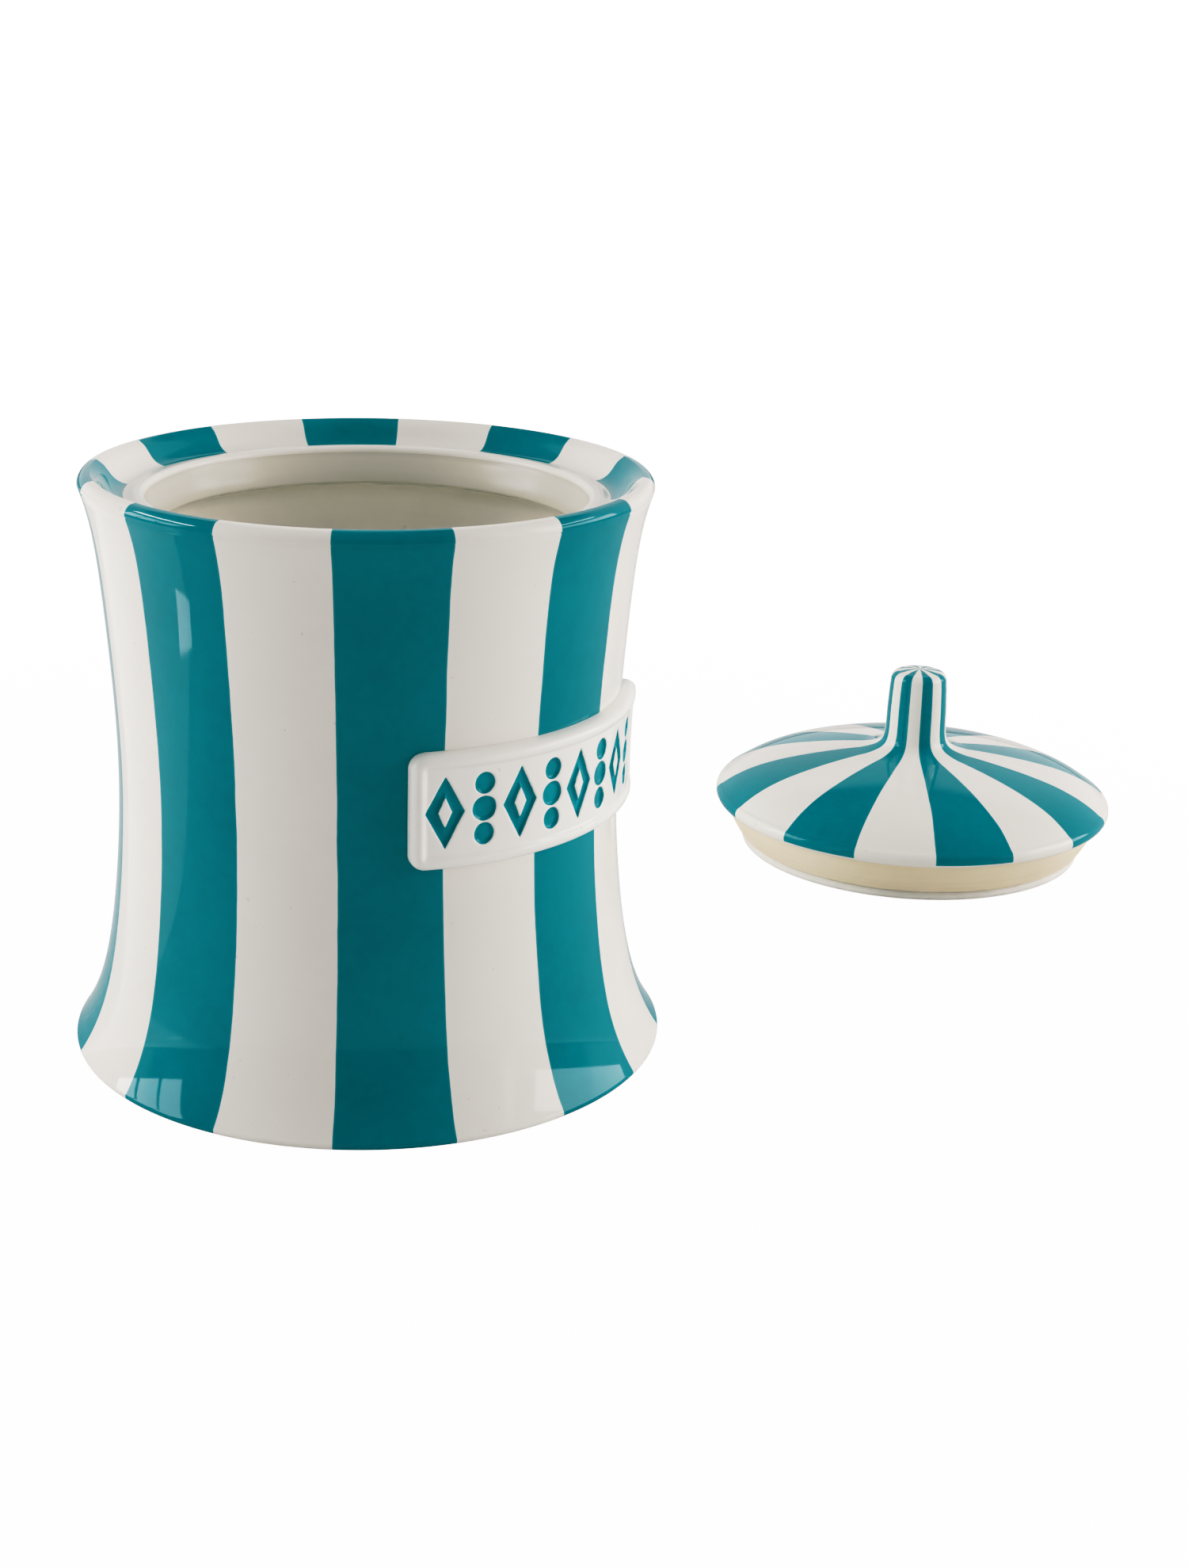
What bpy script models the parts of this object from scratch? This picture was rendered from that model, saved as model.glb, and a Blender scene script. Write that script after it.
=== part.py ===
"""A waisted porcelain apothecary jar, open, with its sealed lid lying on the surface beside it.

Metres, +Z up. The origin is the centre of the jar's foot, on the surface that it stands on. The banner on
the wall faces -Y. The lid's origin lies on the axis along which the lid lifts.
"""

import math

import bmesh
import bpy
import numpy as np

MM = 0.001
SIDES = 64  # facets around each turned piece
FIT = 0.3  # gap between two pieces that touch, mm

# Jar, millimetres from its axis and above its foot
RIM_R = 82.5
RIM_Z = 169.5  # crease between the flared wall and the rolled bead
JAR_TOP = 172.8
WALL = [  # the outer wall's radius and height, from the foot up to the crease
    (89.0, 2.0),
    (85.4, 8.0),
    (80.4, 20.0),
    (76.3, 44.0),
    (73.8, 90.0),
    (76.3, 132.0),
    (79.0, 156.0),
    (RIM_R, RIM_Z),
]
THICK = 5.0
FLOOR_Z = 7.0
FOOT_OUT = 87.0
FOOT_IN = 78.0
RECESS = 1.6  # height of the underside above the foot ring
SEAT_R = 70.2  # bottom of the channel that the lid rests in
SEAT_Z = 165.9
LIP_R = 65.3  # crest of the white lip inside the channel
LIP_Z = 166.7
NECK_R = 60.2  # narrowest part of the neck
NECK_Z = 156.6

# Banner: a raised band with a rolled border around a recessed field
BANNER_HALF_DEG = 41.5
BANNER_LOW = 77.0
BANNER_HIGH = 110.8
BANNER_CORNER = 4.5
BORDER = 4.2  # width of the raised border
BORDER_PROUD = 3.2
FIELD_PROUD = 1.9
BANNER_COLS = 44
BANNER_ROWS = 16

# Lid, millimetres from its own axis and above the surface
LID_X = 251.7
LID_Y = -50.9
EDGE_R = 73.1
EDGE_Z = 18.4
DOME_R = 70.9  # where the dome meets the rounded edge
DOME_Z = 21.2
DOME_TOP = 40.2  # where the dome would peak without the knob
KNOB_TOP = 67.4
KNOB_R = 10.3
KNOB_FOOT_R = 11.3
KNOB_FOOT_Z = 47.0
FILLET_R = 22.0  # where the knob's fillet runs out on the dome
DOME_THICK = 5.0
FLANGE_TOP_R = 65.9
FLANGE_LOW_R = 60.2
SKIRT_Z = 15.7  # underside of the edge
LEDGE_Z = 3.2  # top of the thin lip below the seal
LEDGE_R = 62.6
FLANGE_IN = 55.5

# Seal
SEAL_TOP_R = 69.3
SEAL_LOW_R = 63.5


def clear_scene():
    for obj in list(bpy.data.objects):
        bpy.data.objects.remove(obj, do_unlink=True)


def material(name, colour, roughness):
    made = bpy.data.materials.new(name)
    made.use_nodes = True
    shader = made.node_tree.nodes["Principled BSDF"]
    shader.inputs["Base Color"].default_value = (*colour, 1.0)
    shader.inputs["Roughness"].default_value = roughness
    shader.inputs["Metallic"].default_value = 0.0
    return made


def arc(centre, radii, start, end, steps):
    """Points on an ellipse around (r, z) centre, between two angles in degrees from +r towards +z."""
    turns = np.radians(np.linspace(start, end, steps + 1))
    return [(centre[0] + radii[0] * math.cos(t), centre[1] + radii[1] * math.sin(t)) for t in turns]


def smooth(points, steps):
    """A curve through every point, with this many straight steps between two of them."""
    knots = np.array(points)
    slopes = np.gradient(knots, axis=0)
    curve = []
    for start, end, out, into in zip(knots, knots[1:], slopes, slopes[1:]):
        for t in np.linspace(0, 1, steps, endpoint=False):
            place = (2 * t**3 - 3 * t**2 + 1) * start + (3 * t**2 - 2 * t**3) * end
            bend = (t**3 - 2 * t**2 + t) * out + (t**3 - t**2) * into
            curve.append(tuple(place + bend))
    return curve + [tuple(knots[-1])]


def dome_height(radius):
    share = (radius / DOME_R) ** 2
    return DOME_TOP - (DOME_TOP - DOME_Z) * (0.8 * share + 0.2 * share**2)


def link(mesh_maker, name, surface, place):
    """Turn a bmesh into an outward-facing, smooth-shaded object of this name."""
    mesh = bpy.data.meshes.new(name)
    bmesh.ops.recalc_face_normals(mesh_maker, faces=mesh_maker.faces)
    mesh_maker.to_mesh(mesh)
    mesh_maker.free()
    mesh.shade_smooth()
    mesh.set_sharp_from_angle(angle=math.radians(40))
    mesh.materials.append(surface)
    obj = bpy.data.objects.new(name, mesh)
    obj.location = (place[0] * MM, place[1] * MM, 0.0)
    bpy.context.scene.collection.objects.link(obj)
    return obj


def ring(shape, radius, height):
    """One ring of vertices, or a single one on the axis."""
    if radius < 0.001:
        return [shape.verts.new((0.0, 0.0, height * MM))]
    turns = [2 * math.pi * k / SIDES for k in range(SIDES)]
    spots = [(radius * math.cos(t) * MM, radius * math.sin(t) * MM, height * MM) for t in turns]
    return [shape.verts.new(spot) for spot in spots]


def turned(name, profile, surface, place=(0.0, 0.0), closed=False):
    """Turn an (r, z) profile around the axis. A closed profile makes a ring, an open one ends on the axis."""
    shape = bmesh.new()
    rings = [ring(shape, r, z) for r, z in profile]
    pairs = list(zip(rings, rings[1:]))
    if closed:
        pairs.append((rings[-1], rings[0]))
    for lower, upper in pairs:
        for k in range(SIDES):
            after = (k + 1) % SIDES
            corners = [lower[k % len(lower)], lower[after % len(lower)]]
            corners += [upper[after % len(upper)], upper[k % len(upper)]]
            shape.faces.new(list(dict.fromkeys(corners)))
    return link(shape, name, surface, place)


def jar_outside():
    """From the centre of the underside, around the foot and up the wall to the crease under the bead."""
    base = [(0.0, RECESS), (FOOT_IN - 2, RECESS), (FOOT_IN, 0.0)]
    heel = arc((FOOT_OUT, 2.0), (2.0, 2.0), -90, -30, 2)
    return base + heel + smooth(WALL, 3)


def jar_rim():
    """Over the rolled bead, across the lid's seat and over the inner lip to the neck's lower edge."""
    bead = arc((78.8, RIM_Z), (RIM_R - 78.8, JAR_TOP - RIM_Z), 20, 90, 4)
    seat = smooth([bead[-1], (74.2, 168.0), (SEAT_R, SEAT_Z), (LIP_R + 1.2, LIP_Z)], 3)
    lip = arc((LIP_R, LIP_Z - 1.5), (1.7, 1.5), 70, 190, 4)
    edge = arc((NECK_R + 1.0, NECK_Z), (1.0, 1.0), 180, 270, 3)
    return bead[:-1] + seat + lip + edge


def jar_hollow():
    """Under the neck, down the inside of the wall and in to the centre of the floor."""
    walls = [(r - THICK, z) for r, z in smooth(WALL, 2) if FLOOR_Z + 9 < z < NECK_Z - 10]
    floor_r = walls[0][0]
    shoulder = arc((walls[-1][0] - 3.0, NECK_Z - 6.0), (3.0, 3.5), 90, 15, 3)
    corner = arc((floor_r - 8.0, FLOOR_Z + 8.0), (8.0, 8.0), -10, -90, 4)
    return shoulder + walls[::-1] + corner + [(0.0, FLOOR_Z)]


def jar_body(surface):
    return turned("jar_body", jar_outside() + jar_rim() + jar_hollow(), surface)


def wall_radius(height):
    """The outer wall's radius at a height, for what is moulded onto it."""
    curve = np.array(smooth(WALL, 8))
    return float(np.interp(height, curve[:, 1], curve[:, 0]))


def banner_relief(across, up):
    """How far the banner stands out of the wall at a place in its rounded outline, millimetres."""
    half = (BANNER_HIGH - BANNER_LOW) / 2
    width = math.radians(BANNER_HALF_DEG) * wall_radius((BANNER_HIGH + BANNER_LOW) / 2)
    inset = min(width - abs(across), half - abs(up))
    rise = min(1.0, inset / 1.6)
    rim = 0.5 - 0.5 * math.cos(2 * math.pi * min(1.0, inset / BORDER))
    return FIELD_PROUD * math.sin(rise * math.pi / 2) + (BORDER_PROUD - FIELD_PROUD) * rim


def rounded_row(share, half, width):
    """Half the banner's width at a height share from -1 to 1, less near its rounded corners."""
    over = abs(share) * half - (half - BANNER_CORNER)
    if over <= 0:
        return width
    return width - BANNER_CORNER + math.sqrt(BANNER_CORNER**2 - over**2)


def graded(count, margin):
    """Shares from -1 to 1, closer together in the border at both ends."""
    inner = np.linspace(-1 + margin, 1 - margin, count - 5)
    steps = np.array([1.0, 1 - margin * 0.22, 1 - margin * 0.5])
    return np.concatenate([-steps, inner, steps[::-1]])


def label_plaque(surface):
    """The banner: an outer skin that follows its relief, a back that follows the wall, and a narrow edge."""
    half = (BANNER_HIGH - BANNER_LOW) / 2
    middle = (BANNER_HIGH + BANNER_LOW) / 2
    width = math.radians(BANNER_HALF_DEG) * wall_radius(middle)
    shape = bmesh.new()
    skins = {"front": [], "back": []}
    for up in graded(BANNER_ROWS, BORDER / half):
        height = middle + up * half
        reach = rounded_row(up, half, width)
        for side, row in (("front", []), ("back", [])):
            for across in graded(BANNER_COLS, BORDER / width):
                turn = across * reach / wall_radius(middle)
                out = wall_radius(height) + FIT
                if side == "front":
                    out += 0.8 + banner_relief(across * reach, up * half)
                spot = (out * math.sin(turn) * MM, -out * math.cos(turn) * MM, height * MM)
                row.append(shape.verts.new(spot))
            skins[side].append(row)
    for rows in skins.values():
        for low, high in zip(rows, rows[1:]):
            for k in range(len(low) - 1):
                shape.faces.new([low[k], low[k + 1], high[k + 1], high[k]])
    rims = [outline(rows) for rows in (skins["front"], skins["back"])]
    for k in range(len(rims[0])):
        after = (k + 1) % len(rims[0])
        shape.faces.new([rims[0][k], rims[0][after], rims[1][after], rims[1][k]])
    return link(shape, "label_plaque", surface, (0.0, 0.0))


def outline(rows):
    """The vertices around the edge of a grid, in order."""
    right = [row[-1] for row in rows[1:-1]]
    left = [row[0] for row in rows[1:-1]]
    return rows[0] + right + rows[-1][::-1] + left[::-1]


def lid_outside():
    """From the knob's centre over the dome and the rounded edge, down the flange to its thin lip."""
    crown = [(0.0, KNOB_TOP), (4.0, KNOB_TOP - 0.25)]
    shoulder = arc((KNOB_R - 2.8, KNOB_TOP - 3.4), (2.8, 2.6), 80, 0, 4)
    stem = [(KNOB_FOOT_R, KNOB_FOOT_Z)]
    fillet = smooth([(KNOB_FOOT_R, KNOB_FOOT_Z), (13.4, 41.6), (FILLET_R, dome_height(FILLET_R))], 3)
    dome = [(r, dome_height(r)) for r in np.linspace(FILLET_R, DOME_R, 9)]
    edge = arc((DOME_R - 0.6, EDGE_Z), (EDGE_R - DOME_R + 0.6, DOME_Z - EDGE_Z), 70, -75, 5)
    flange = [(FLANGE_TOP_R, SKIRT_Z), (FLANGE_LOW_R, LEDGE_Z)]
    ledge = [(LEDGE_R - 0.6, LEDGE_Z)] + arc((LEDGE_R - 1.2, 1.3), (1.2, 1.3), 30, -90, 3)
    return crown + shoulder + stem + fillet[1:-1] + dome + edge + flange + ledge


def lid_inside():
    """From the flange's foot up inside it and under the dome to its centre. The knob is cast solid."""
    foot = arc((FLANGE_IN + 1.5, 1.5), (1.5, 1.5), -90, -180, 2)
    under = [(r, dome_height(r) - DOME_THICK) for r in np.linspace(54.0, 0.0, 7)]
    return foot + [(FLANGE_IN + 0.8, 18.0)] + under


def lid(surface):
    return turned("lid", lid_outside() + lid_inside(), surface, (LID_X, LID_Y))


def lid_seal(surface):
    """A tapered band, gently bowed outside, with a small bead at its lower edge."""
    top = SKIRT_Z - FIT
    low = LEDGE_Z + FIT
    bow = smooth([(SEAL_LOW_R, low + 0.4), (66.6, 9.2), (SEAL_TOP_R, top)], 3)
    inner = [(FLANGE_TOP_R + FIT, top), (FLANGE_LOW_R + FIT, low)]
    return turned("lid_seal", bow + inner, surface, (LID_X, LID_Y), closed=True)


def main():
    clear_scene()
    jar = jar_body(material("jar_porcelain", (0.70, 0.69, 0.66), 0.12))
    banner = label_plaque(material("banner_porcelain", (0.74, 0.73, 0.70), 0.12))
    banner.parent = jar
    cover = lid(material("lid_porcelain", (0.02, 0.23, 0.26), 0.12))
    seal = lid_seal(material("seal_silicone", (0.62, 0.52, 0.36), 0.45))
    seal.parent = cover
    seal.location = (0.0, 0.0, 0.0)


main()
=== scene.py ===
"""Looks for the apothecary jar: glazed porcelain with painted stripes, a moulded banner and a sealed lid.

The scene is in metres, in the CAD's frame. The shapes' own values are in millimetres, and a profile's points
are (radius, height) from a turned piece's axis. Bearings are degrees around the jar, from -Y towards +X.
"""

import math

import bmesh
import bpy
import numpy as np
from mathutils import Matrix, Vector

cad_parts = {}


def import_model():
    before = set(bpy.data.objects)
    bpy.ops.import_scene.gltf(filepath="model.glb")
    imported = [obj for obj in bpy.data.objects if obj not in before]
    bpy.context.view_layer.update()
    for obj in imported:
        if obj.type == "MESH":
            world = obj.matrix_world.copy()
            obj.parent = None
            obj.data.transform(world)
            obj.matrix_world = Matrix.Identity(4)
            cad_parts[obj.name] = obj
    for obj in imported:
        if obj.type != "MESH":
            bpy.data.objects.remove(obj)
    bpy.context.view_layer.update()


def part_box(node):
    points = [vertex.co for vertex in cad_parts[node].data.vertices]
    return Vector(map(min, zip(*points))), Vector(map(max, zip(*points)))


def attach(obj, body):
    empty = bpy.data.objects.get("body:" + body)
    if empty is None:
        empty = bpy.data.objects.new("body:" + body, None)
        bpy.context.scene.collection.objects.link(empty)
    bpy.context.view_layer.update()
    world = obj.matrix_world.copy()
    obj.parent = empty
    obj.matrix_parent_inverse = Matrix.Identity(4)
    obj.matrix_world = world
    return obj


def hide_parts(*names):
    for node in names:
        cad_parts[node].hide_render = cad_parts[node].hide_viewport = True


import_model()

MM = 0.001
SIDES = 256  # facets around a turned piece
STRIPES = 8  # teal stripes around a piece, with as many white ones between them

JAR_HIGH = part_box("jar_body")[1]
LID_LOW, LID_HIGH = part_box("lid")
LID_AXIS = (LID_LOW + LID_HIGH) / 2
FOOT_R = JAR_HIGH.x / MM
JAR_TOP = JAR_HIGH.z / MM
KNOB_TOP = LID_HIGH.z / MM
EDGE_R = (LID_HIGH.x - LID_LOW.x) / 2 / MM

# Jar
RIM_R = 82.5
RIM_Z = 169.5  # the crease between the flared wall and the rolled bead
WALL = [
    (FOOT_R - 0.35, 2.0),
    (85.4, 8.0),
    (80.4, 20.0),
    (76.3, 44.0),
    (73.8, 90.0),
    (76.3, 132.0),
    (79.0, 156.0),
    (RIM_R - 0.3, RIM_Z - 0.9),
]
WALL_LOW = 2.2  # where the wall leaves the rounded heel
HEEL_R = 1.3
FOOT_OUT = 86.4
FOOT_RECESS = 1.6
THICK = 5.0
FLOOR_Z = 7.0
BEAD = [(RIM_R, 169.6), (82.3, 170.6), (81.6, 171.7), (80.5, 172.5), (78.8, JAR_TOP)]
SEAT = [(78.8, JAR_TOP), (76.6, 171.1), (73.6, 167.4), (70.2, 165.9), (66.6, 166.7)]
PAINT_END = (69.9, 165.92)  # the inner end of the painted stripes, in the channel that the lid rests in
LIP_R = 65.3
LIP_Z = 165.2
NECK_R = 60.2  # the narrowest part of the neck
NECK_Z = 156.6

# Banner
BANNER_HALF_DEG = 41.5
BANNER_LOW = 77.0
BANNER_HIGH = 110.8
BANNER_CORNER = 4.5
BANNER_GRID = (301, 97)  # points across and up
BANNER_GAP = 0.12  # from the wall to the outline of the front
BACK_GAP = 0.05  # from the wall to the back
BORDER_PROUD = 4.2
BORDER_ROLL = 2.6  # width of the border's rounded outer edge
BORDER_INNER = (3.0, 4.8)  # from the outline: the border slopes down to the field between these
FIELD_PROUD = 3.2
INK_DEPTH = 1.0
INK_SLOPE = (-0.25, 0.75)  # from a motif's outline: its side slopes down between these
MOTIFS = 9
END_MARGIN = 9.5  # from the banner's end to the middle of the last motif
LOZENGE = (5.4, 10.6)  # half widths and half heights
PIERCING = (1.9, 4.4)
MIDDLE_BEAD = (3.5, 3.6)
END_BEAD = (2.9, 3.2)
BEAD_PITCH = 7.3

# Lid
DOME_R = EDGE_R - 2.2  # where the dome meets the rounded edge
DOME_Z = 21.2
DOME = [(20.0, 36.7), (30.0, 35.2), (40.0, 33.4), (50.0, 31.0), (60.0, 27.5), (67.0, 24.1), (DOME_R, DOME_Z)]
FILLET_R = 20.0  # where the knob's fillet runs out on the dome
DOME_THICK = 5.0
EDGE_Z = 18.4
SKIRT_Z = 15.7  # underside of the edge
LEDGE_Z = 3.2  # top of the thin lip below the seal
LEDGE_R = 62.6
FLANGE_TOP_R = 65.9
FLANGE_LOW_R = 60.2
FLANGE_IN = 55.5
LID_TURN = 1.8  # bearing of the middle of one of the lid's teal stripes
LID_PAINT_END = (72.6, 17.1)

# Seal
SEAL_TOP = SKIRT_Z - 0.35
SEAL_LOW = LEDGE_Z + 0.25
SEAL_FACE = [(62.9, SEAL_LOW), (63.6, SEAL_LOW + 0.6), (65.2, 6.6), (67.3, 10.4), (69.0, SEAL_TOP - 0.6)]
SEAL_FACE += [(69.2, SEAL_TOP)]
SEAL_GAP = 0.4  # between the seal and the flange
RIB_PITCH = 1.9
RIB_HEIGHT = 0.07

# Camera: where it stands around the jar, how high, and how it is aimed
CAMERA_BEARING = -49.38
CAMERA_OUT = 0.6992
CAMERA_HEIGHT = 0.315
CAMERA_PAN = 5.52
CAMERA_DIP = 18.74
CAMERA_ROLL = 1.62
LENS = 56.31

# Room
LIGHT_DISTANCE = 1.6
WALL_LIGHT_DISTANCE = 1.5
LIGHT_TARGET = (0.06, -0.02, 0.07)  # between the jar and its lid
GLAZING_BAR = 0.045
ROOM_BEHIND = (0.82, 0.82, 0.82, 1)
ROOM_BESIDE = (0.16, 0.16, 0.16, 1)
ROOM_BEFORE = (0.05, 0.05, 0.05, 1)
ROOM_ABOVE = (0.08, 0.08, 0.08, 1)
TABLE_HALF = 30
TABLE_Z = -0.0001
TABLE_TONES = [(0.66, 0.66, 0.655, 1), (0.68, 0.68, 0.675, 1)]

# Exposure, as pairs of scene brightness and shown brightness
PAPER_WHITE = 1.6  # scene brightness shown as pure white
BACKDROP_WHITE = PAPER_WHITE * 1.02
TONES = [(0.09, 0.092), (0.21, 0.255), (0.48, 0.575), (1.04, 0.86)]
RED_TONES = [(0.02, 0.005), (0.06, 0.04), (0.13, 0.125)]  # after TONES: red falls away in the deepest teal

# Colours
TEAL = (0.0, 0.190, 0.228, 1)
TEAL_DEEP = (0.0, 0.160, 0.194, 1)
# teal of the sunk motifs, lighter than TEAL: painted light that lifts the shade in the recesses
TEAL_INK_PAINTED_LIGHT = (0.0, 0.235, 0.28, 1)
TEAL_THIN = (0.12, 0.36, 0.38, 1)  # at the very edge of a stripe
TEAL_SHEEN = (0.8, 0.95, 1.0, 1)
SHEEN = (1, 1, 1, 1)
SPECK = (0.40, 0.35, 0.28, 1)
WHITE = (0.80, 0.767, 0.695, 1)
# the banner's white glaze, lighter and bluer than WHITE: painted light on the banner
BANNER_WHITE_PAINTED_LIGHT = (0.86, 0.84, 0.775, 1)
# the inside's white glaze, warmed: a painted warm tint of the shade and bounced light inside the jar
INSIDE_WHITE_PAINTED_WARM_SHADE = (0.88, 0.84, 0.745, 1)
# the neck's white glaze, darkened and warmed: painted shade inside the mouth
NECK_WHITE_PAINTED_SHADE = (0.56, 0.525, 0.445, 1)
FOOT_BISQUE = (0.74, 0.70, 0.63, 1)
LID_BISQUE = (0.78, 0.75, 0.68, 1)
SILICONE_DARK = (0.78, 0.65, 0.455, 1)
SILICONE = (0.85, 0.73, 0.54, 1)


def arc(centre, radii, start, end, steps):
    turns = np.radians(np.linspace(start, end, steps + 1))
    return [(centre[0] + radii[0] * math.cos(t), centre[1] + radii[1] * math.sin(t)) for t in turns]


def smooth(points, steps):
    """A curve through every point, with this many straight steps between two of them."""
    knots = np.array(points)
    slopes = np.gradient(knots, axis=0)
    curve = []
    for start, end, out, into in zip(knots, knots[1:], slopes, slopes[1:]):
        for t in np.linspace(0, 1, steps, endpoint=False):
            place = (2 * t**3 - 3 * t**2 + 1) * start + (3 * t**2 - 2 * t**3) * end
            bend = (t**3 - 2 * t**2 + t) * out + (t**3 - t**2) * into
            curve.append(tuple(place + bend))
    return curve + [tuple(knots[-1])]


def dome_height(radius):
    """The lid's dome: one smooth crown that runs close by every DOME point, level over the axis."""
    radii, heights = np.array(DOME).T
    return float(np.polyval(np.polyfit((radii / DOME_R) ** 2, heights, 3), (radius / DOME_R) ** 2))


# Materials


def joined(tree, source, target):
    """Link a socket, or set a plain value."""
    if isinstance(source, bpy.types.NodeSocket):
        tree.links.new(source, target)
    else:
        target.default_value = source


def maths(tree, operation, *values):
    node = tree.nodes.new("ShaderNodeMath")
    node.operation = operation
    for source, target in zip(values, node.inputs):
        joined(tree, source, target)
    return node.outputs[0]


def noise(tree, spot, scale, detail=2.0):
    node = tree.nodes.new("ShaderNodeTexNoise")
    node.inputs["Scale"].default_value = scale
    node.inputs["Detail"].default_value = detail
    joined(tree, spot, node.inputs["Vector"])
    return node.outputs["Fac"]


def ramp(tree, value, low, high, out_low=0.0, out_high=1.0):
    """Ease a value from one range into another."""
    node = tree.nodes.new("ShaderNodeMapRange")
    node.interpolation_type = "SMOOTHSTEP"
    for name, amount in (
        ("From Min", low),
        ("From Max", high),
        ("To Min", out_low),
        ("To Max", out_high),
    ):
        node.inputs[name].default_value = amount
    joined(tree, value, node.inputs["Value"])
    return node.outputs["Result"]


def blend(tree, share, first, second):
    node = tree.nodes.new("ShaderNodeMix")
    node.data_type = "RGBA"
    for source, target in ((share, 0), (first, 6), (second, 7)):
        joined(tree, source, node.inputs[target])
    return node.outputs[2]


def object_spot(tree):
    return tree.nodes.new("ShaderNodeTexCoord").outputs["Object"]


def attribute(tree, name):
    node = tree.nodes.new("ShaderNodeAttribute")
    node.attribute_name = name
    return node.outputs["Fac"]


def bump(tree, height, distance, below=None):
    node = tree.nodes.new("ShaderNodeBump")
    node.inputs["Distance"].default_value = distance
    joined(tree, height, node.inputs["Height"])
    if below is not None:
        joined(tree, below, node.inputs["Normal"])
    return node.outputs["Normal"]


def new_material(name):
    made = bpy.data.materials.new(name)
    made.use_nodes = True
    return made, made.node_tree, made.node_tree.nodes["Principled BSDF"]


def stripe_distance(tree, spot, turn):
    """Millimetres inside a teal stripe, negative in a white one. The painted edge is slightly unsteady."""
    axes = tree.nodes.new("ShaderNodeSeparateXYZ")
    joined(tree, spot, axes.inputs[0])
    x, y = axes.outputs[0], axes.outputs[1]
    bearing = maths(tree, "ARCTAN2", x, maths(tree, "MULTIPLY", y, -1.0))
    phase = maths(tree, "MULTIPLY", maths(tree, "SUBTRACT", bearing, math.radians(turn)), STRIPES)
    wave = maths(tree, "COSINE", phase)
    squared = maths(tree, "ADD", maths(tree, "MULTIPLY", x, x), maths(tree, "MULTIPLY", y, y))
    radius = maths(tree, "SQRT", squared)
    edge = maths(tree, "MULTIPLY", maths(tree, "ARCSINE", wave), maths(tree, "DIVIDE", radius, STRIPES * MM))
    sway = maths(tree, "SUBTRACT", noise(tree, spot, 60.0, 3.0), 0.5)
    reach = ramp(tree, radius, 0.0, 0.05, 0.0, 0.7)
    return maths(tree, "ADD", edge, maths(tree, "MULTIPLY", sway, reach))


def glaze_colours(tree, spot, white):
    """The white and the teal, each with the soft drift in tone of a hand-dipped glaze."""
    drift = noise(tree, spot, 22.0, 3.0)
    fine = noise(tree, spot, 260.0, 2.0)
    mottle = maths(tree, "ADD", maths(tree, "MULTIPLY", drift, 0.75), maths(tree, "MULTIPLY", fine, 0.25))
    teal = blend(tree, ramp(tree, mottle, 0.3, 0.7), TEAL_DEEP, TEAL)
    pale = blend(tree, ramp(tree, mottle, 0.3, 0.7), white, tuple(min(1.0, c * 1.04) for c in white))
    speck = ramp(tree, noise(tree, spot, 520.0, 0.0), 0.84, 0.88)
    pale = blend(tree, maths(tree, "MULTIPLY", speck, 0.3), pale, SPECK)
    return teal, pale


def glaze_finish(tree, shader, spot, gloss=0.025, below=None):
    """Glassy, with the faint waviness of fired glaze and a little roughness drift."""
    wave = bump(tree, noise(tree, spot, 55.0, 1.0), 0.00002, below)
    joined(tree, bump(tree, noise(tree, spot, 700.0, 2.0), 0.0000015, wave), shader.inputs["Normal"])
    roughness = ramp(tree, noise(tree, spot, 35.0, 3.0), 0.3, 0.7, gloss, gloss + 0.04)
    joined(tree, roughness, shader.inputs["Roughness"])
    shader.inputs["IOR"].default_value = 1.5
    shader.inputs["Specular IOR Level"].default_value = 0.24


def striped_glaze(name, turn, white):
    made, tree, shader = new_material(name)
    spot = object_spot(tree)
    edge = stripe_distance(tree, spot, turn)
    inside = maths(tree, "MINIMUM", edge, attribute(tree, "paint"))
    teal, pale = glaze_colours(tree, spot, white)
    rim = ramp(tree, inside, 0.1, 0.75, 0.22, 0.0)
    teal = blend(tree, rim, teal, TEAL_THIN)
    painted = ramp(tree, inside, -0.1, 0.1)
    joined(tree, blend(tree, painted, pale, teal), shader.inputs["Base Color"])
    joined(tree, blend(tree, painted, SHEEN, TEAL_SHEEN), shader.inputs["Specular Tint"])
    glaze_finish(tree, shader, spot)
    return made


def stretched(tree, spot, around, along):
    """Noise drawn out into lines around the axis."""
    squash = tree.nodes.new("ShaderNodeVectorMath")
    squash.operation = "MULTIPLY"
    squash.inputs[1].default_value = (around, around, along)
    joined(tree, spot, squash.inputs[0])
    return noise(tree, squash.outputs[0], 1.0, 3.0)


def plain_glaze(name, white, gloss=0.025, line_depth=0.0):
    """White glaze all over. With a line_depth, the faint lines of the casting show through it."""
    made, tree, shader = new_material(name)
    spot = object_spot(tree)
    joined(tree, glaze_colours(tree, spot, white)[1], shader.inputs["Base Color"])
    lines = bump(tree, stretched(tree, spot, 6.0, 420.0), line_depth)
    glaze_finish(tree, shader, spot, gloss, lines)
    return made


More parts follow.
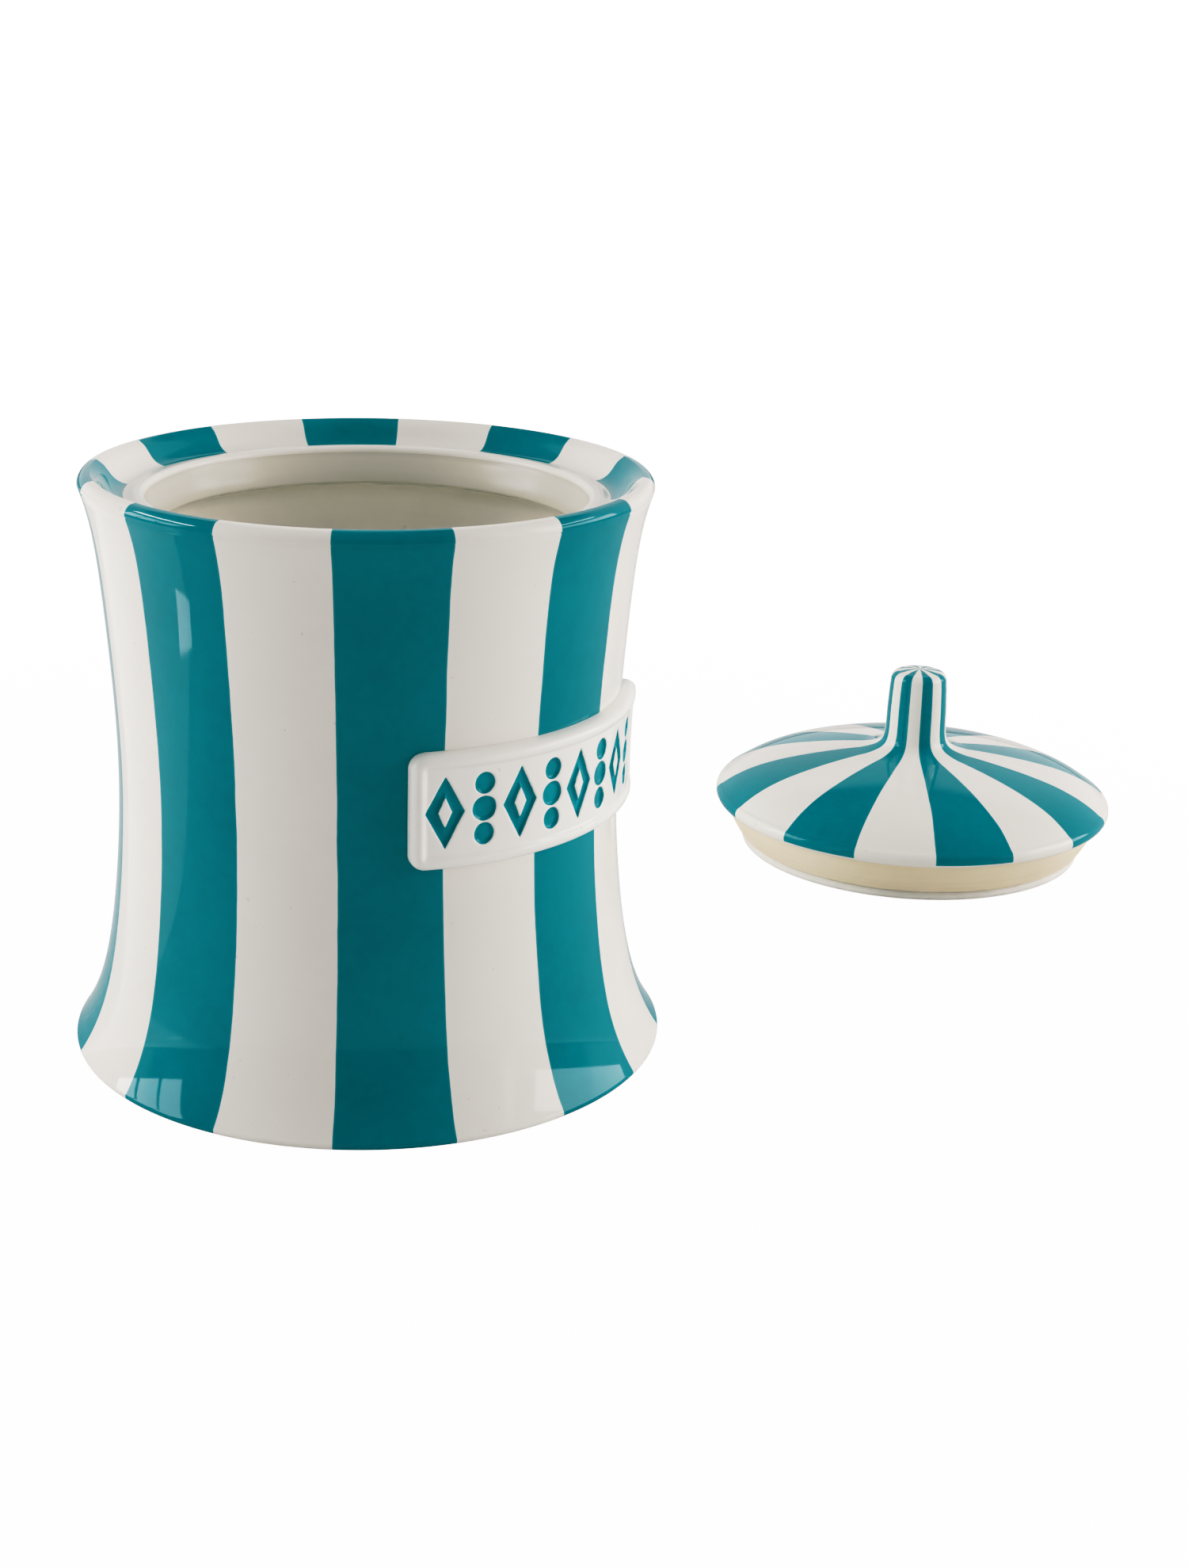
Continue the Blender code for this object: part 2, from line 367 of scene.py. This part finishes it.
def banner_glaze_painted_light(name):
    """White glaze, with teal in the sunk motifs; both are painted lighter than the jar's glaze, as painted
    light. The mesh carries the distance inside a motif's outline.
    """
    made, tree, shader = new_material(name)
    spot = object_spot(tree)
    sway = maths(tree, "SUBTRACT", noise(tree, spot, 350.0, 2.0), 0.5)
    ink = maths(tree, "ADD", attribute(tree, "ink"), maths(tree, "MULTIPLY", sway, 0.35))
    # the banner's white is a lighter copy of the white glaze: painted light
    pale = glaze_colours(tree, spot, BANNER_WHITE_PAINTED_LIGHT)[1]
    # the motif teal blends towards a lighter teal: painted light against the shade of the sunk motifs
    teal = blend(tree, ramp(tree, noise(tree, spot, 150.0, 2.0), 0.35, 0.65), TEAL, TEAL_INK_PAINTED_LIGHT)
    painted = ramp(tree, ink, -0.12, 0.12)
    joined(tree, blend(tree, painted, pale, teal), shader.inputs["Base Color"])
    joined(tree, blend(tree, painted, SHEEN, TEAL_SHEEN), shader.inputs["Specular Tint"])
    glaze_finish(tree, shader, spot)
    return made


def bisque(name, colour):
    """Wiped, unglazed porcelain."""
    made, tree, shader = new_material(name)
    spot = object_spot(tree)
    tone = ramp(tree, noise(tree, spot, 160.0, 4.0), 0.3, 0.7)
    dark = tuple(c * 0.9 for c in colour[:3]) + (1,)
    joined(tree, blend(tree, tone, dark, colour), shader.inputs["Base Color"])
    joined(tree, bump(tree, noise(tree, spot, 1500.0, 3.0), 0.00002), shader.inputs["Normal"])
    shader.inputs["Roughness"].default_value = 0.62
    return made


def silicone(name):
    """Cream, slightly see-through rubber with moulding lines around it."""
    made, tree, shader = new_material(name)
    spot = object_spot(tree)
    lines = stretched(tree, spot, 3.0, 900.0)
    cloud = maths(tree, "ADD", lines, noise(tree, spot, 40.0, 3.0))
    colour = blend(tree, ramp(tree, cloud, 0.6, 1.4), SILICONE_DARK, SILICONE)
    joined(tree, colour, shader.inputs["Base Color"])
    joined(tree, bump(tree, lines, 0.00004), shader.inputs["Normal"])
    joined(tree, ramp(tree, noise(tree, spot, 90.0, 3.0), 0.3, 0.7, 0.38, 0.52), shader.inputs["Roughness"])
    shader.inputs["Specular IOR Level"].default_value = 0.15
    shader.inputs["Subsurface Weight"].default_value = 0.25
    shader.inputs["Subsurface Radius"].default_value = (1.0, 0.7, 0.4)
    shader.inputs["Subsurface Scale"].default_value = 0.002
    return made


# Meshes


def placed(shape, name, surfaces, at, body, node):
    """Finish a piece: outward normals, smooth shading, its place, its body and the node that it replaces."""
    mesh = bpy.data.meshes.new(name)
    bmesh.ops.recalc_face_normals(shape, faces=shape.faces)
    shape.to_mesh(mesh)
    shape.free()
    mesh.shade_smooth()
    for surface in surfaces:
        mesh.materials.append(surface)
    piece = bpy.data.objects.new(name, mesh)
    piece.location = at
    bpy.context.scene.collection.objects.link(piece)
    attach(piece, body)
    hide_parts(node)
    return piece


def ring(shape, radius, height, paint, layer):
    """One ring of a turned piece, or the one point where it meets its axis."""
    if radius < 0.001:
        spots = [(0.0, 0.0, height * MM)]
    else:
        turns = [2 * math.pi * k / SIDES for k in range(SIDES)]
        spots = [(radius * math.cos(t) * MM, radius * math.sin(t) * MM, height * MM) for t in turns]
    verts = [shape.verts.new(spot) for spot in spots]
    for vert in verts:
        vert[layer] = paint
    return verts


def paint_distances(points, first, last):
    """How far each profile point is inside the painted stretch, mm along the profile, negative outside it."""
    steps = np.hypot(*np.diff(np.array(points), axis=0).T)
    along = np.concatenate([[0.0], np.cumsum(steps)])
    return np.minimum(along - along[first], along[last] - along)


def turned(sections, painted=None, closed=False):
    """Turn profile sections, each (points, material number), around Z. painted is the (first, last) profile
    point of the striped stretch."""
    points = []
    slots = []
    for stretch, slot in sections:
        for point in stretch:
            if points and math.dist(points[-1], point) < 1e-4:
                continue
            points.append(point)
            slots.append(slot)
    if painted is None:
        paint = np.zeros(len(points))
    else:
        ends = [nearest(points, spot) for spot in painted]
        paint = paint_distances(points, *ends)
    shape = bmesh.new()
    layer = shape.verts.layers.float.new("paint")
    rings = [ring(shape, r, z, float(d), layer) for (r, z), d in zip(points, paint)]
    spans = list(zip(rings, rings[1:], slots[1:]))
    if closed:
        spans.append((rings[-1], rings[0], slots[0]))
    for lower, upper, slot in spans:
        for k in range(SIDES):
            after = (k + 1) % SIDES
            corners = [lower[k % len(lower)], lower[after % len(lower)]]
            corners += [upper[after % len(upper)], upper[k % len(upper)]]
            face = shape.faces.new(list(dict.fromkeys(corners)))
            face.material_index = slot
    return shape


def nearest(points, spot):
    return int(np.argmin(np.hypot(*(np.array(points) - np.array(spot)).T)))


def wall_radius(height):
    """The outer wall: one smooth sweep that runs close by every WALL point."""
    radii, heights = np.array(WALL).T
    return float(np.polyval(np.polyfit(heights, radii, 6), height))


def jar():
    recess = [(0.0, FOOT_RECESS), (40.0, FOOT_RECESS), (74.0, FOOT_RECESS)]
    recess += smooth([(75.5, FOOT_RECESS - 0.1), (76.6, 0.7), (77.6, 0.1)], 4)
    ring_face = [(78.2, 0.0), (FOOT_OUT, 0.0)]
    heel = arc((FOOT_R - HEEL_R - 0.03, HEEL_R), (HEEL_R, HEEL_R), -85, 35, 10)
    wall = [(wall_radius(z), z) for z in np.linspace(WALL_LOW, RIM_Z - 0.9, 120)]
    crease = [(RIM_R - 0.42, RIM_Z - 0.45)]
    bead = smooth(BEAD, 6)
    seat = smooth(SEAT, 8)
    lip = arc((LIP_R, LIP_Z), (1.7, 1.5), 70, 190, 12)
    neck = [(62.9, 163.4), (61.2, 160.0)]
    undercut = arc((NECK_R + 1.0, NECK_Z), (1.0, 1.0), 180, 290, 8)
    inner_wall = [(wall_radius(z) - THICK, z) for z in np.linspace(FLOOR_Z + 9, NECK_Z - 9, 50)]
    floor_r, top_r = inner_wall[0][0], inner_wall[-1][0]
    shoulder = smooth([(64.5, 154.4), (top_r - 3.0, 153.6), (top_r - 0.3, 151.0)], 6)
    corner = arc((floor_r - 8.0, FLOOR_Z + 8.0), (8.0, 8.0), -8, -90, 8)
    floor = [(45.0, FLOOR_Z), (20.0, FLOOR_Z), (0.0, FLOOR_Z)]
    sections = [
        (recess, 1),
        (ring_face, 2),
        (heel + wall + crease + bead + seat + lip, 0),
        (neck + undercut, 1),
        (shoulder + inner_wall[::-1] + corner + floor, 3),
    ]
    surfaces = [
        striped_glaze("jar_striped_glaze", 0.0, WHITE),
        # the neck's colour is painted shade on the white glaze
        plain_glaze("jar_neck_glaze_painted_shade", NECK_WHITE_PAINTED_SHADE, gloss=0.22),
        bisque("jar_foot_bisque", FOOT_BISQUE),
        # the inside's warm colour is painted shade and bounced light on the white glaze
        plain_glaze("jar_inside_glaze_painted_shade", INSIDE_WHITE_PAINTED_WARM_SHADE, line_depth=0.00012),
    ]
    shape = turned(sections, ((FOOT_OUT, 0.0), PAINT_END))
    return placed(shape, "jar_body_glazed", surfaces, (0, 0, 0), "jar", "jar_body")


def eased(value, low, high):
    share = np.clip((value - low) / (high - low), 0.0, 1.0)
    return share * share * (3 - 2 * share)


def lozenge(x, y, wide, tall):
    """Distance inside a lozenge of this half width and half height."""
    reach = np.abs(x) / wide + np.abs(y) / tall
    return (1 - reach) / math.hypot(1 / wide, 1 / tall)


def disc(x, y, wide, tall):
    """Distance inside a nearly round bead of this half width and half height."""
    return (1 - np.hypot(x / wide, y / tall)) * min(wide, tall)


def ink_distance(across, up, width):
    """Distance inside the nearest motif: pierced lozenges and stacks of three beads, in turn."""
    inside = np.full(across.shape, -9.0)
    pitch = 2 * (width - END_MARGIN) / (MOTIFS - 1)
    for k in range(MOTIFS):
        x = across - (k - (MOTIFS - 1) / 2) * pitch
        if k % 2 == 0:
            motif = np.minimum(lozenge(x, up, *LOZENGE), -lozenge(x, up, *PIERCING))
        else:
            motif = disc(x, up, *MIDDLE_BEAD)
            for side in (-1, 1):
                motif = np.maximum(motif, disc(x, up - side * BEAD_PITCH, *END_BEAD))
        inside = np.maximum(inside, motif)
    return inside


def banner_row(up, half, width):
    """One level of the banner: its points' places across, and how far each is inside the rounded outline."""
    over = max(0.0, abs(up) - (half - BANNER_CORNER))
    reach = width - BANNER_CORNER + math.sqrt(BANNER_CORNER**2 - over**2)
    across = np.linspace(-1, 1, BANNER_GRID[0]) * reach
    corner_x = np.maximum(0.0, np.abs(across) - (width - BANNER_CORNER))
    rounded = BANNER_CORNER - np.hypot(corner_x, over)
    straight = np.minimum(width - np.abs(across), half - abs(up))
    return across, np.where((corner_x > 0) & (over > 0), rounded, straight)


def banner_relief(inset, ink):
    """Height over the wall: a rolled border, the field inside it and the motifs sunk in that."""
    rise = np.sqrt(np.clip(1 - (1 - np.clip(inset / BORDER_ROLL, 0, 1)) ** 2, 0, 1))
    field = BORDER_PROUD * rise - (BORDER_PROUD - FIELD_PROUD) * eased(inset, *BORDER_INNER)
    return field - INK_DEPTH * eased(ink, *INK_SLOPE)


def banner():
    """The banner follows the wall: a moulded grid in front, a plain one behind, and a strip joining them."""
    middle = (BANNER_HIGH + BANNER_LOW) / 2
    half = (BANNER_HIGH - BANNER_LOW) / 2
    mean_r = wall_radius(middle)
    width = math.radians(BANNER_HALF_DEG) * mean_r
    shape = bmesh.new()
    layer = shape.verts.layers.float.new("ink")
    front, back = [], []
    for share in np.linspace(-1, 1, BANNER_GRID[1]):
        up = share * half
        across, inset = banner_row(up, half, width)
        ink = ink_distance(across, np.full_like(across, up), width)
        turns = across / mean_r
        relief = banner_relief(inset, ink) + BANNER_GAP
        for rows, lift in ((front, relief), (back, np.full_like(ink, BACK_GAP))):
            row = []
            for radius, turn, depth in zip(wall_radius(middle + up) + lift, turns, ink):
                spot = (radius * math.sin(turn) * MM, -radius * math.cos(turn) * MM, (middle + up) * MM)
                vert = shape.verts.new(spot)
                vert[layer] = float(depth)
                row.append(vert)
            rows.append(row)
    for rows in (front, back):
        for low, high in zip(rows, rows[1:]):
            for k in range(len(low) - 1):
                shape.faces.new([low[k], low[k + 1], high[k + 1], high[k]])
    front_edge, back_edge = outline(front), outline(back)
    for k in range(len(front_edge)):
        after = (k + 1) % len(front_edge)
        shape.faces.new([front_edge[k], front_edge[after], back_edge[after], back_edge[k]])
    surfaces = [banner_glaze_painted_light("banner_glaze_painted_light")]
    return placed(shape, "banner_moulded", surfaces, (0, 0, 0), "jar", "label_plaque")


def outline(rows):
    """The vertices around a grid, in order."""
    right = [row[-1] for row in rows[1:-1]]
    left = [row[0] for row in rows[1:-1]]
    return rows[0] + right + rows[-1][::-1] + left[::-1]


def lid():
    crown = smooth([(0.0, KNOB_TOP), (4.0, KNOB_TOP - 0.2), (7.0, KNOB_TOP - 0.75)], 5)
    shoulder = arc((7.3, KNOB_TOP - 3.8), (3.0, 3.0), 78, 4, 12)
    stem = [(10.55, 61.0), (10.75, 57.0), (10.95, 53.0)]
    knots = [(11.05, 47.5), (11.25, 43.8), (12.0, 40.7), (13.8, 38.75), (16.6, 37.55)]
    fillet = smooth(knots + [(FILLET_R, dome_height(FILLET_R))], 7)
    dome = [(r, dome_height(r)) for r in np.linspace(FILLET_R, DOME_R, 30)]
    edge = arc((DOME_R - 0.6, EDGE_Z), (EDGE_R - DOME_R + 0.6, DOME_Z - EDGE_Z), 72, -80, 18)
    under_edge = [(69.6, SKIRT_Z - 0.1), (FLANGE_TOP_R, SKIRT_Z)]
    flange = [(FLANGE_LOW_R, LEDGE_Z)]
    ledge = [(LEDGE_R - 0.8, LEDGE_Z)] + arc((LEDGE_R - 1.2, 1.3), (1.2, 1.3), 45, -90, 10)
    foot = arc((FLANGE_IN + 1.5, 1.5), (1.5, 1.5), -90, -180, 6)
    under = [(r, dome_height(r) - DOME_THICK) for r in np.linspace(54.0, 0.0, 16)]
    throat = smooth([(FLANGE_IN + 0.1, 6.0), (FLANGE_IN + 0.6, 15.0), (55.6, 22.0), under[0]], 4)
    sections = [
        (crown + shoulder + stem + fillet + dome + edge, 0),
        (under_edge, 1),
        (flange + ledge + foot, 2),
        (throat + under, 1),
    ]
    surfaces = [
        striped_glaze("lid_striped_glaze", LID_TURN, WHITE),
        plain_glaze("lid_white_glaze", WHITE),
        bisque("lid_foot_bisque", LID_BISQUE),
    ]
    shape = turned(sections, ((0.0, KNOB_TOP), LID_PAINT_END))
    at = (LID_AXIS.x, LID_AXIS.y, 0)
    return placed(shape, "lid_glazed", surfaces, at, "lid", "lid")


def seal():
    """The silicone ring: a bowed, finely ribbed face and a straight back along the lid's flange."""
    face = [(r + RIB_HEIGHT * math.sin(z * 2 * math.pi / RIB_PITCH), z) for r, z in smooth(SEAL_FACE, 7)]
    back = [(FLANGE_TOP_R + SEAL_GAP, SEAL_TOP), (FLANGE_LOW_R + SEAL_GAP, SEAL_LOW)]
    shape = turned([(face + back, 0)], closed=True)
    surfaces = [silicone("seal_silicone")]
    at = (LID_AXIS.x, LID_AXIS.y, 0)
    return placed(shape, "lid_seal_silicone", surfaces, at, "lid", "lid_seal")


# Studio


def bearing_vector(bearing, elevation):
    a, e = math.radians(bearing), math.radians(elevation)
    return Vector((math.sin(a) * math.cos(e), -math.cos(a) * math.cos(e), math.sin(e)))


def camera():
    data = bpy.data.cameras.new("camera")
    data.sensor_width = 36.0
    data.lens = LENS
    data.clip_start = 0.01
    view = bpy.data.objects.new("camera", data)
    stand = bearing_vector(CAMERA_BEARING, 0) * CAMERA_OUT + Vector((0, 0, CAMERA_HEIGHT))
    heading = Matrix.Rotation(math.radians(CAMERA_BEARING - CAMERA_PAN), 4, "Z")
    tilt = Matrix.Rotation(math.radians(90 - CAMERA_DIP), 4, "X")
    roll = Matrix.Rotation(math.radians(CAMERA_ROLL), 4, "Z")
    view.matrix_world = Matrix.Translation(stand) @ heading @ tilt @ roll
    bpy.context.scene.collection.objects.link(view)
    bpy.context.scene.camera = view


def softbox(
    name, side, elevation, size, power, distance=LIGHT_DISTANCE, colour=(1, 1, 1), glossy=True, diffuse=True
):
    """A rectangular light, at a bearing counted from the camera's, aimed at the jar and its lid."""
    data = bpy.data.lights.new(name, "AREA")
    data.shape = "RECTANGLE"
    data.size, data.size_y = size
    data.energy = power
    data.color = colour
    lamp = bpy.data.objects.new(name, data)
    towards = bearing_vector(CAMERA_BEARING + side, elevation)
    lamp.location = Vector(LIGHT_TARGET) + towards * distance
    lamp.rotation_mode = "QUATERNION"
    lamp.rotation_quaternion = towards.to_track_quat("Z", "Y")
    lamp.visible_camera = False
    lamp.visible_glossy = glossy
    lamp.visible_diffuse = diffuse
    bpy.context.scene.collection.objects.link(lamp)


def window(name, side, elevation, pane, panes, power, colour):
    """A row of panes with glazing bars between them."""
    for column in range(panes):
        across = (column - (panes - 1) / 2) * (pane[0] + GLAZING_BAR)
        turn = math.degrees(math.atan2(across, LIGHT_DISTANCE))
        softbox(f"{name}_{column}", side + turn, elevation, pane, power / panes, colour=colour)


def glint_panel(name, side, out, heading, size, brightness, lift):
    """A bright patch of the tabletop that only the glaze shows. Its size is along and across its heading."""
    data = bpy.data.lights.new(name, "AREA")
    data.shape = "RECTANGLE"
    data.size, data.size_y = size
    data.energy = brightness * math.pi * size[0] * size[1]
    lamp = bpy.data.objects.new(name, data)
    lamp.location = bearing_vector(CAMERA_BEARING + side, 0) * out + Vector((0, 0, lift))
    lamp.rotation_euler = (math.pi, 0, math.radians(CAMERA_BEARING + heading - 90))
    lamp.visible_camera = False
    lamp.visible_diffuse = False
    bpy.context.scene.collection.objects.link(lamp)


def floor():
    """A pale tabletop that reaches the horizon. The camera sees it nearly white, as on a lit studio sweep."""
    shape = bmesh.new()
    corners = [(-1, -1), (1, -1), (1, 1), (-1, 1)]
    shape.faces.new([shape.verts.new((x * TABLE_HALF, y * TABLE_HALF, TABLE_Z)) for x, y in corners])
    mesh = bpy.data.meshes.new("tabletop")
    shape.to_mesh(mesh)
    shape.free()
    top = bpy.data.objects.new("tabletop", mesh)
    bpy.context.scene.collection.objects.link(top)
    made, tree, shader = new_material("tabletop_paint")
    spot = object_spot(tree)
    tone = ramp(tree, noise(tree, spot, 3.0, 3.0), 0.3, 0.7)
    joined(tree, blend(tree, tone, *TABLE_TONES), shader.inputs["Base Color"])
    shader.inputs["Roughness"].default_value = 0.75
    away = tree.nodes.new("ShaderNodeVectorMath")
    away.operation = "LENGTH"
    joined(tree, spot, away.inputs[0])
    glow = tree.nodes.new("ShaderNodeEmission")
    glow.inputs["Strength"].default_value = BACKDROP_WHITE
    mix = tree.nodes.new("ShaderNodeMixShader")
    seen = tree.nodes.new("ShaderNodeLightPath").outputs["Is Camera Ray"]
    share = maths(tree, "MULTIPLY", seen, ramp(tree, away.outputs["Value"], 0.2, 0.8, 0.93, 1.0))
    tree.links.new(share, mix.inputs[0])
    tree.links.new(shader.outputs[0], mix.inputs[1])
    tree.links.new(glow.outputs[0], mix.inputs[2])
    tree.links.new(mix.outputs[0], tree.nodes["Material Output"].inputs["Surface"])
    mesh.materials.append(made)


def world():
    """A pale room behind the object, darker beside, before and above it, and plain white to the camera."""
    made = bpy.data.worlds.new("studio")
    made.use_nodes = True
    tree = made.node_tree
    tree.nodes.clear()
    heading = tree.nodes.new("ShaderNodeTexCoord").outputs["Generated"]
    dot = tree.nodes.new("ShaderNodeVectorMath")
    dot.operation = "DOT_PRODUCT"
    dot.inputs[1].default_value = bearing_vector(CAMERA_BEARING, 0)
    tree.links.new(heading, dot.inputs[0])
    towards = dot.outputs["Value"]
    axes = tree.nodes.new("ShaderNodeSeparateXYZ")
    tree.links.new(heading, axes.inputs[0])
    tone = blend(tree, ramp(tree, towards, -0.15, -0.05), ROOM_BEHIND, ROOM_BESIDE)
    tone = blend(tree, ramp(tree, towards, -0.05, 0.75), tone, ROOM_BEFORE)
    tone = blend(tree, ramp(tree, axes.outputs[2], 0.61, 0.67), tone, ROOM_ABOVE)
    room = tree.nodes.new("ShaderNodeBackground")
    tree.links.new(tone, room.inputs["Color"])
    white = tree.nodes.new("ShaderNodeBackground")
    white.inputs["Color"].default_value = (1, 1, 1, 1)
    white.inputs["Strength"].default_value = BACKDROP_WHITE
    seen = tree.nodes.new("ShaderNodeLightPath").outputs["Is Camera Ray"]
    mix = tree.nodes.new("ShaderNodeMixShader")
    for source, target in zip((seen, room.outputs[0], white.outputs[0]), mix.inputs):
        tree.links.new(source, target)
    out = tree.nodes.new("ShaderNodeOutputWorld")
    tree.links.new(mix.outputs[0], out.inputs[0])
    bpy.context.scene.world = made


def tone_curve():
    """A camera's response: a little more contrast in the mid-tones and a soft shoulder in the whites."""
    view = bpy.context.scene.view_settings
    view.view_transform = "Standard"
    view.use_curve_mapping = True
    view.curve_mapping.white_level = (PAPER_WHITE,) * 3
    line = view.curve_mapping.curves[3]
    for light, shown in TONES:
        line.points.new(light / PAPER_WHITE, shown)
    red = view.curve_mapping.curves[0]
    for light, shown in RED_TONES:
        red.points.new(light, shown)
    view.curve_mapping.update()


def studio():
    """Windows on both sides, which the glaze reflects, and soft walls and a ceiling, which it doesn't."""
    tone_curve()
    world()
    window("left_window", -91, 16.5, (0.25, 0.5), 3, 7.5, (0.95, 0.98, 1.0))
    softbox("left_transom", -94, 35, (0.85, 0.12), 6.4, diffuse=False)
    softbox("right_window", 88, 16, (1.3, 0.55), 11)
    softbox("right_transom", 88, 34, (0.9, 0.1), 3, diffuse=False)
    softbox("doorway", 53, 16, (0.12, 0.9), 0.6)
    softbox("left_wall", -100, 12, (1.2, 1.0), 11, WALL_LIGHT_DISTANCE, glossy=False)
    softbox("right_wall", 95, 12, (1.2, 1.0), 9, WALL_LIGHT_DISTANCE, glossy=False)
    softbox("ceiling", 180, 85, (1.3, 1.3), 7.5, glossy=False)
    softbox("room", 0, 15, (1.3, 1.0), 3.4, glossy=False)
    glint_panel("sunlit_spot", -77.8, 0.376, -77.8, (0.017, 0.045), 4.5, 0.004)
    glint_panel("sunlit_table", -102.3, 1.74, -64, (2.5, 2.0), 0.6, 0.002)


camera()
studio()
floor()
jar()
banner()
lid()
seal()
